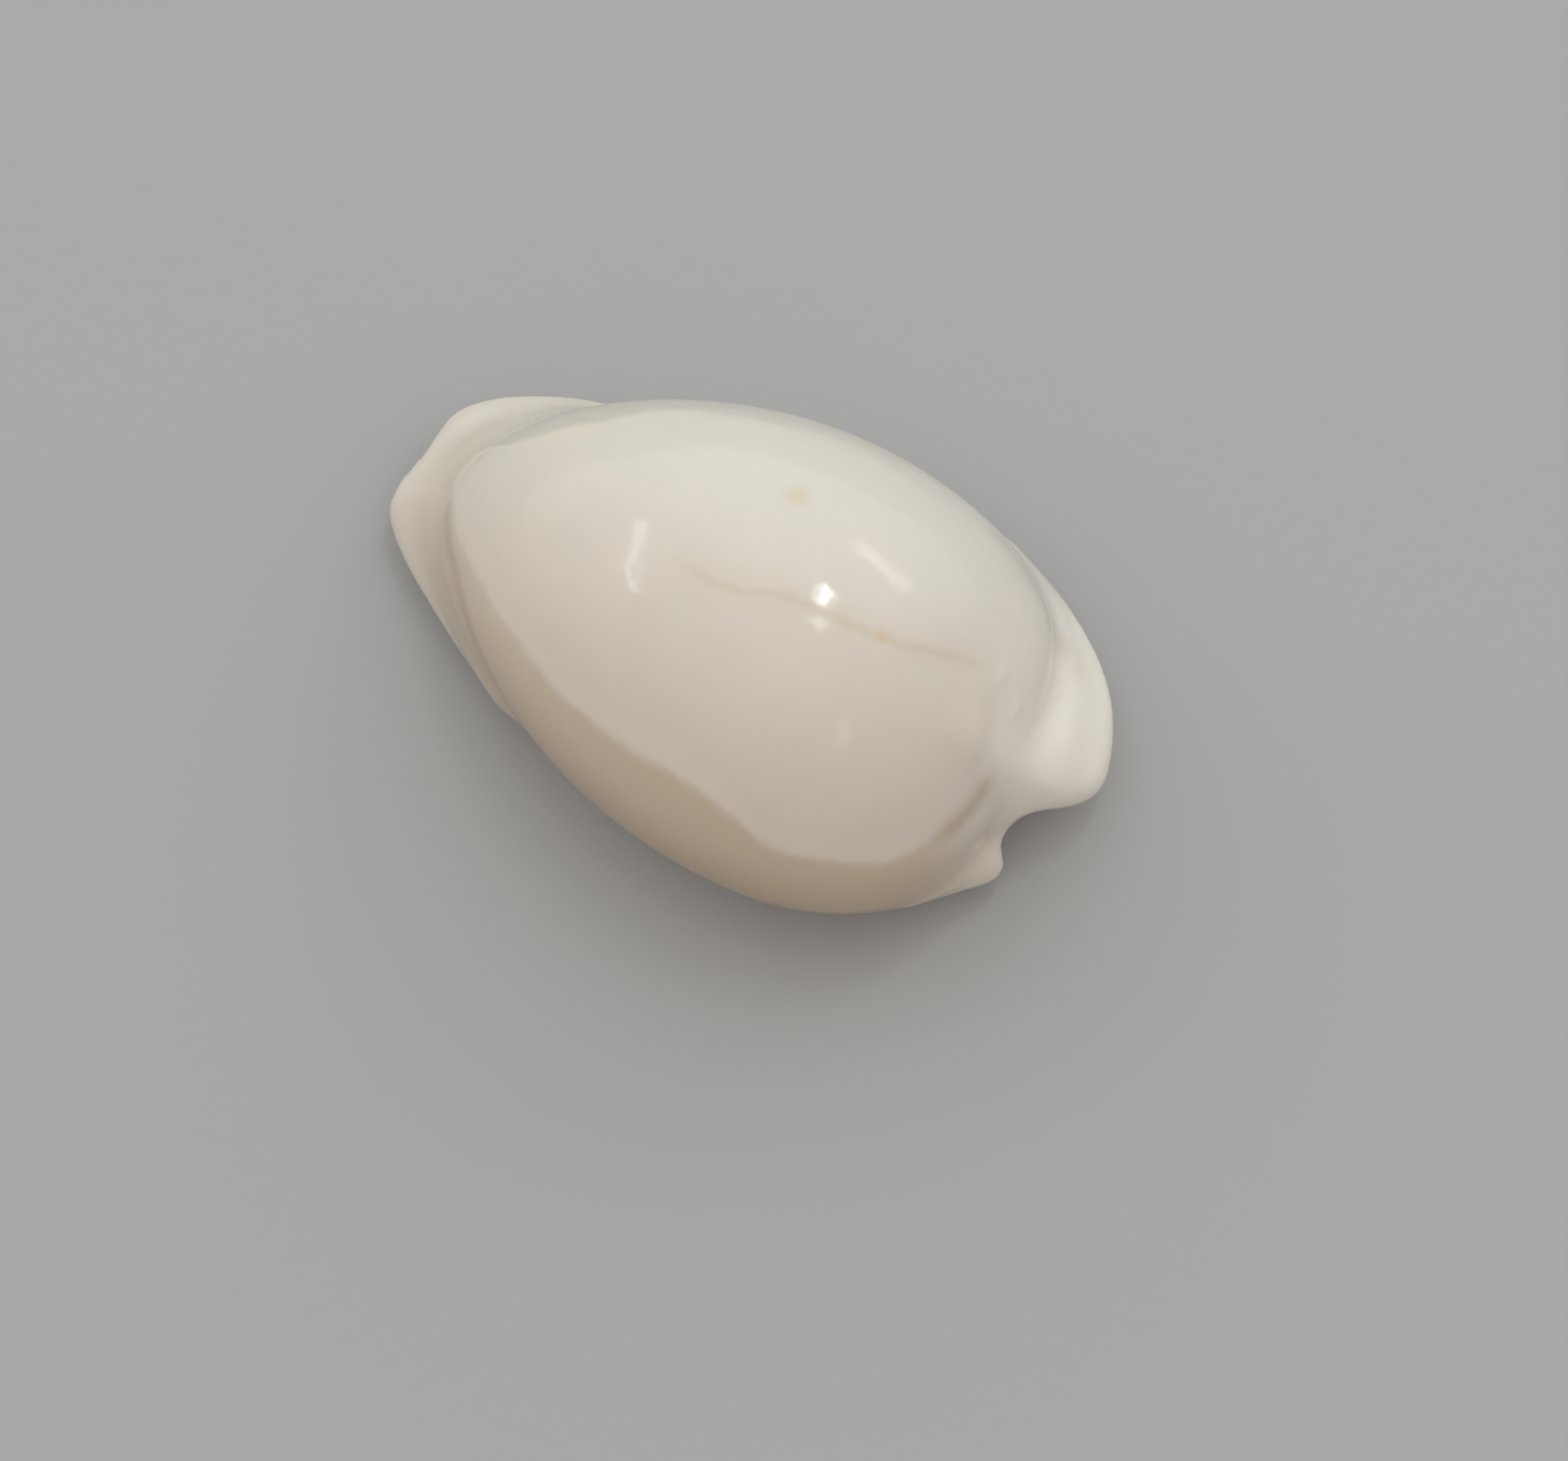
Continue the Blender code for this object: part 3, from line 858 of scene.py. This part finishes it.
@dataclass
class CowrieSurface:
    """The shell that is seen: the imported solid, smoothed, with its low relief and enamel.

    Attributes:
        node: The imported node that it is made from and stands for.
        join_distance: Corners closer than this are one corner.
        pair_angle: Most that two triangles of one quad may differ, in degrees.
        subdivisions: Times that each quad is split.
        strokes: The grooves, ridges and stains.
        foot: Lines along the foot of the dome, which is filled there to run into the margin.
        crowded: The two places on the back where the loft's profiles meet.
        facet: Size of the even facets that the surface is laid out in.
        relax_all: Times that the whole surface is evened out.
        relax_back: Times that the back is evened out after that.
        relax_crowded: Times that the crowded places are.
        relax_foot: Times that the foot of the dome is.
        enamel: The finish.
    """

    node: str = "shell"
    join_distance: float = 0.002
    pair_angle: float = 60.0
    subdivisions: int = 2
    strokes: tuple[Stroke, ...] = (
        # low tan ridge that marks the buried spire
        Stroke(
            ((16.2, -3.0, 11.7), (16.1, -3.7, 11.5), (15.8, -5.0, 11.6), (15.7, -5.5, 11.6)),
            0.85,
            0.1,
            Side.RAISED,
            0.4,
        ),
        # tan smear above that mark
        Stroke(((14.8, 0.6, 15.1), (15.4, -0.8, 14.2), (15.6, -2.0, 13.8)), 0.8, stain_and_shade=0.1),
        # crease in the margin round the anterior end, from the outer lip to the other side; its tan
        # is partly painted shade
        Stroke(
            (
                (-17.3, 5.0, 4.7),
                (-18.7, 3.6, 4.5),
                (-19.0, 2.0, 4.5),
                (-18.9, 0.5, 4.6),
                (-18.7, -0.8, 4.6),
                (-18.0, -2.1, 4.4),
                (-16.8, -3.7, 4.3),
                (-15.5, -5.1, 4.1),
                (-13.6, -6.6, 4.0),
            ),
            0.55,
            0.04,
            Side.SUNK,
            0.26,
        ),
        # fainter crease just inside that one, low on the dome; its tan is partly painted shade
        Stroke(
            (
                (-17.5, -1.5, 7.7),
                (-16.8, -2.9, 8.1),
                (-15.4, -4.5, 8.8),
                (-14.1, -5.9, 8.6),
                (-12.1, -7.8, 7.9),
                (-10.8, -8.8, 7.2),
            ),
            0.6,
            0.08,
            Side.SUNK,
            0.3,
        ),
        # long crease between the dome and the outer lip, at the posterior end: no relief, its tan
        # is painted shade
        Stroke(
            (
                (11.0, 10.0, 12.0),
                (13.4, 8.8, 11.4),
                (15.4, 7.5, 8.6),
                (16.3, 7.3, 5.9),
                (17.1, 6.4, 5.8),
            ),
            0.9,
            0.0,
            Side.SUNK,
            0.2,
        ),
        # small pimples on the posterior slope
        Stroke(((14.9, 2.35, 15.0),), 0.45, 0.15, Side.RAISED),
        Stroke(((16.1, 1.55, 12.8),), 0.4, 0.08, Side.RAISED),
        Stroke(((17.0, 5.0, 6.2),), 0.5, 0.14, Side.RAISED),
    )
    foot: tuple[Stroke, ...] = (
        Stroke(
            (
                (-14.0, 7.3, 4.9),
                (-16.3, 5.5, 4.8),
                (-17.7, 3.9, 4.7),
                (-18.6, 2.4, 4.6),
                (-18.9, 1.3, 4.6),
                (-18.9, -0.2, 4.5),
                (-17.9, -2.1, 4.4),
                (-16.5, -3.7, 4.3),
                (-13.6, -6.2, 4.3),
                (-10.4, -8.5, 4.3),
            ),
            1.3,
            0.7,
            Side.RAISED,
        ),
        Stroke(
            (
                (10.3, 11.4, 4.7),
                (13.7, 9.7, 4.9),
                (15.1, 8.6, 5.1),
                (17.2, 5.7, 6.1),
                (18.4, 2.0, 7.5),
            ),
            1.6,
            0.8,
            Side.RAISED,
        ),
    )
    crowded: tuple[Point, ...] = ((-12.55, 0.86, 14.4), (13.25, -1.89, 16.85))
    facet: float = 0.27
    relax_all: int = 3
    relax_back: int = 25
    relax_crowded: int = 120
    relax_foot: int = 90
    enamel: ShellEnamel = ShellEnamel()

    def build(self, frame: dict[str, Any]) -> Object:
        """Args:
            frame: What the loaded frame holds.

        Returns:
            The finished piece.
        """
        piece = self.copy_of_solid(frame)
        self.smooth(piece)
        self.add_relief(piece.data)
        piece.data.materials.clear()
        piece.data.materials.append(self.enamel.build())
        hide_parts(self.node)
        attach(piece, "root")
        log.info("shell surface: %d faces", len(piece.data.polygons))
        return piece

    def copy_of_solid(self, frame: dict[str, Any]) -> Object:
        """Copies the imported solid's mesh into a new object at the origin.

        Args:
            frame: What the loaded frame holds.

        Returns:
            The new object.
        """
        mesh = frame["nodes"][self.node].data.copy()
        mesh.name = "cowrie_surface"
        piece = bpy.data.objects.new("cowrie_surface", mesh)
        bpy.context.scene.collection.objects.link(piece)
        return piece

    def smooth(self, piece: Object) -> None:
        """Joins the loose triangles, and turns their facets into one smooth skin.

        Args:
            piece: The copy of the solid.
        """
        deselect_all()
        piece.select_set(True)
        bpy.context.view_layer.objects.active = piece
        bpy.ops.object.mode_set(mode="EDIT")
        bpy.ops.mesh.select_all(action="SELECT")
        bpy.ops.mesh.remove_doubles(threshold=self.join_distance * MM)
        angle = math.radians(self.pair_angle)
        bpy.ops.mesh.tris_convert_to_quads(face_threshold=angle, shape_threshold=angle)
        bpy.ops.object.mode_set(mode="OBJECT")
        split = piece.modifiers.new("split", "SUBSURF")
        split.levels = self.subdivisions
        split.render_levels = self.subdivisions
        bpy.ops.object.modifier_apply(modifier=split.name)
        even = piece.modifiers.new("even", "REMESH")
        even.mode = "VOXEL"
        even.voxel_size = self.facet * MM
        bpy.ops.object.modifier_apply(modifier=even.name)
        self.relax(piece, "all_over", self.all_over, self.relax_all)
        self.relax(piece, "back", self.on_back, self.relax_back)
        self.relax(piece, "canal_ends", self.near_canal_ends, self.relax_crowded)
        self.move(piece.data, self.foot)
        self.relax(piece, "foot", self.along_foot, self.relax_foot)
        bpy.ops.object.shade_smooth()

    def all_over(self, places: np.ndarray) -> np.ndarray:
        """Gives 1 everywhere."""
        return np.ones(len(places))

    def on_back(self, places: np.ndarray) -> np.ndarray:
        """Gives 1 on the back of the shell, less on its margin and 0 on its base.

        Args:
            places: Vertex places, one row each.

        Returns:
            The weight of each vertex.
        """
        # full from z 13 up, and 0.3 from z 4.5 up
        high = np.clip((places[:, 2] - 8.0) / 5.0, 0.0, 1.0)
        margin = np.clip((places[:, 2] - 3.0) / 1.5, 0.0, 1.0) * 0.3
        return np.maximum(high, margin)

    def along_foot(self, places: np.ndarray) -> np.ndarray:
        """Gives 1 along the foot of the dome, fading to 0 beside it."""
        return np.max([line.fade(places) for line in self.foot], axis=0)

    def near_canal_ends(self, places: np.ndarray) -> np.ndarray:
        """Gives 1 on the back where the loft's profiles meet, fading to 0 some way off.

        Args:
            places: Vertex places, one row each.

        Returns:
            The weight of each vertex.
        """
        weight = np.zeros(len(places))
        for pole in self.crowded:
            away = np.linalg.norm(places - np.array(pole), axis=1)
            # full up to 3.5 mm away, and none from 8.5 mm
            weight = np.maximum(weight, np.clip(1.7 - away / 5.0, 0.0, 1.0))
        high = np.clip((places[:, 2] - 7.5) / 2.5, 0.0, 1.0)
        return weight * high

    def relax(
        self, piece: Object, name: str, where: Callable[[np.ndarray], np.ndarray], times: int
    ) -> None:
        """Evens out the surface, more in some places than in others.

        Args:
            piece: The subdivided surface.
            name: Name of the vertex group that holds the places.
            where: Gives each place's weight, from 0 to 1.
            times: How many times the surface is evened out.
        """
        places = np.empty(len(piece.data.vertices) * 3)
        piece.data.vertices.foreach_get("co", places)
        levels = np.rint(where(places.reshape(-1, 3) / MM) * WEIGHT_STEPS).astype(int)
        group = piece.vertex_groups.new(name=name)
        for level in range(1, WEIGHT_STEPS + 1):
            chosen = np.flatnonzero(levels == level)
            group.add(chosen.tolist(), level / WEIGHT_STEPS, "REPLACE")
        even = piece.modifiers.new(name, "SMOOTH")
        even.factor = 0.5
        even.iterations = times
        even.vertex_group = name
        bpy.ops.object.modifier_apply(modifier=even.name)
        piece.vertex_groups.clear()

    def move(self, mesh: Mesh, strokes: tuple[Stroke, ...]) -> np.ndarray:
        """Moves the surface along its normals by some strokes.

        Args:
            mesh: The mesh to move.
            strokes: The strokes to move it by.

        Returns:
            The tan tint that the strokes leave on each vertex, from 0 to 1: real marks, and painted
            shade in the creases.
        """
        count = len(mesh.vertices)
        places = np.empty(count * 3)
        mesh.vertices.foreach_get("co", places)
        normals = np.empty(count * 3)
        mesh.vertices.foreach_get("normal", normals)
        places = places.reshape(-1, 3)
        normals = normals.reshape(-1, 3)
        stain_and_shade = np.zeros(count)
        height = np.zeros(count)
        for stroke in strokes:
            fade = stroke.fade(places / MM)
            height += stroke.side.value * stroke.height * fade
            stain_and_shade = np.maximum(stain_and_shade, stroke.stain_and_shade * fade)
        places = places + normals * height[:, None] * MM
        mesh.vertices.foreach_set("co", places.ravel())
        mesh.update()
        return stain_and_shade

    def add_relief(self, mesh: Mesh) -> None:
        """Adds the strokes' relief, and stores their tan tint, painted shade in the creases, where
        the enamel can read it.
        """
        stain_and_shade = self.move(mesh, self.strokes)
        mesh.attributes.new("stain_and_shade", "FLOAT", "POINT").data.foreach_set("value", stain_and_shade)


@dataclass(frozen=True)
class Softbox:
    """One lamp of the studio: a rectangle of light aimed at the shell.

    Attributes:
        name: What it is called.
        toward: Direction from the shell to the lamp.
        distance_m: How far away it hangs, in metres.
        size_m: Its width and height, in metres.
        watts: Its power.
        lengthwise: Direction in which its height runs.
        colour: Its light, as an sRGB hex colour.
    """

    name: str
    toward: Point
    distance_m: float
    size_m: tuple[float, float]
    watts: float
    lengthwise: Point
    colour: str = "#FFFFFF"

    def build(self, target: Vector) -> Object:
        """Adds the lamp.

        Args:
            target: The place that it is aimed at, in metres.

        Returns:
            The lamp's object.
        """
        lamp = bpy.data.lights.new(self.name, "AREA")
        lamp.shape = "RECTANGLE"
        lamp.size, lamp.size_y = self.size_m
        lamp.energy = self.watts
        lamp.color = linear(self.colour)[:3]
        placed = bpy.data.objects.new(self.name, lamp)
        toward = Vector(self.toward).normalized()
        across = Vector(self.lengthwise).cross(toward).normalized()
        turned = Matrix((across, toward.cross(across), toward)).transposed()
        placed.rotation_euler = turned.to_euler()
        placed.location = target + toward * self.distance_m
        bpy.context.scene.collection.objects.link(placed)
        return placed


@dataclass(frozen=True)
class StudioSky:
    """Even light from all round: a big bright screen above and behind the shell, dim elsewhere.

    Attributes:
        toward: Direction of the screen's middle.
        dim: Light from everywhere else, as an sRGB hex colour.
        bright: Light of the screen's middle, as an sRGB hex colour.
        strength: How many times stronger than those colours the light is.
    """

    toward: Point = (-0.32, 0.63, 0.707)
    dim: str = "#B5AEAB"
    bright: str = "#F3F8FB"
    strength: float = 1.11

    def build(self) -> None:
        """Makes the light the scene's world."""
        world = bpy.data.worlds.new("studio_sky")
        world.use_nodes = True
        tree = world.node_tree
        way = add_node(tree, "ShaderNodeTexCoord").outputs["Generated"]
        facing = add_node(
            tree, "ShaderNodeVectorMath", {0: way, 1: self.toward}, operation="DOT_PRODUCT"
        ).outputs["Value"]
        share = add_node(
            tree, "ShaderNodeMapRange", {"Value": facing}, interpolation_type="SMOOTHSTEP"
        ).outputs[0]
        colours = {0: share, 6: linear(self.dim), 7: linear(self.bright)}
        light = add_node(tree, "ShaderNodeMix", colours, data_type="RGBA").outputs[2]
        tree.links.new(light, tree.nodes["Background"].inputs["Color"])
        tree.nodes["Background"].inputs["Strength"].default_value = self.strength
        bpy.context.scene.world = world


@dataclass
class Studio:
    """The pale floor, the soft lights and the camera.

    Attributes:
        azimuth: Where the camera stands, in degrees.
        elevation: How high it stands, in degrees.
        distance: How far it stands from its aim.
        mm_per_px: Size of one photo pixel at the aim.
        aim: The place in the middle of the picture.
        floor_size_m: Length of the floor's sides, in metres.
        floor_squares: Squares along each of them.
        lamp_aim_m: The place that the lamps are aimed at, in metres.
        paper: The floor's finish.
        sky: The even light from all round.
        lamps: The softboxes.
    """

    azimuth: float = 27.0
    elevation: float = 75.0
    distance: float = 350.0
    mm_per_px: float = 0.0435
    aim: Point = (4.412, -3.290, 4.8)
    floor_size_m: float = 6.0
    floor_squares: int = 8
    lamp_aim_m: Point = (0.0, 0.0, 0.008)
    paper: StudioPaper = StudioPaper()
    sky: StudioSky = StudioSky()
    lamps: tuple[Softbox, ...] = (
        Softbox("key_strip", (0.019, 0.36, 0.93), 0.7, (0.02, 0.17), 0.28, (0.06, 0.93, -0.35)),
        Softbox("key_glow", (0.057, 0.105, 0.99), 0.7, (0.06, 0.09), 0.075, (-0.88, 0.47, 0.1)),
        Softbox("upper_strip", (0.189, 0.805, 0.56), 0.7, (0.07, 0.24), 0.11, (0.93, -0.37, 0.03)),
        Softbox("side_strip", (-0.79, -0.02, 0.585), 0.7, (0.04, 0.38), 0.17, (0.14, -0.98, 0.13)),
        Softbox("low_patch", (0.465, -0.488, 0.742), 0.7, (0.09, 0.12), 0.03, (-0.44, 0.86, 0.26)),
    )

    def build(self) -> None:
        """Adds the floor, the lights and the camera."""
        self.add_floor()
        self.sky.build()
        for lamp in self.lamps:
            lamp.build(Vector(self.lamp_aim_m))
        self.add_camera()
        bpy.context.scene.view_settings.view_transform = "Standard"
        log.info("studio: %d lamps", len(self.lamps))

    def add_floor(self) -> None:
        """Adds the sheet of paper that the shell lies on."""
        deselect_all()
        bpy.ops.mesh.primitive_grid_add(
            x_subdivisions=self.floor_squares, y_subdivisions=self.floor_squares, size=self.floor_size_m
        )
        floor = bpy.context.object
        floor.name = "studio_floor"
        floor.data.materials.append(self.paper.build())

    def add_camera(self) -> None:
        """Adds the camera at the photo's viewing angle."""
        azimuth, elevation = math.radians(self.azimuth), math.radians(self.elevation)
        back = Vector(
            (
                math.sin(azimuth) * math.cos(elevation),
                -math.cos(azimuth) * math.cos(elevation),
                math.sin(elevation),
            )
        )
        lens = bpy.data.cameras.new("camera")
        lens.sensor_width = SENSOR_WIDTH_MM
        lens.lens = SENSOR_WIDTH_MM * self.distance / (PHOTO_WIDTH_PX * self.mm_per_px)
        lens.clip_start = 0.01
        camera = bpy.data.objects.new("camera", lens)
        camera.location = (Vector(self.aim) + back * self.distance) * MM
        camera.rotation_euler = (-back).to_track_quat("-Z", "Y").to_euler()
        bpy.context.scene.collection.objects.link(camera)
        bpy.context.scene.camera = camera


def main() -> None:
    """Loads the frame, dresses the shell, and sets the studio."""
    logging.basicConfig(level=logging.INFO, format="%(name)s: %(message)s")
    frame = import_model()
    CowrieSurface().build(frame)
    Studio().build()


if __name__ == "__main__":
    main()
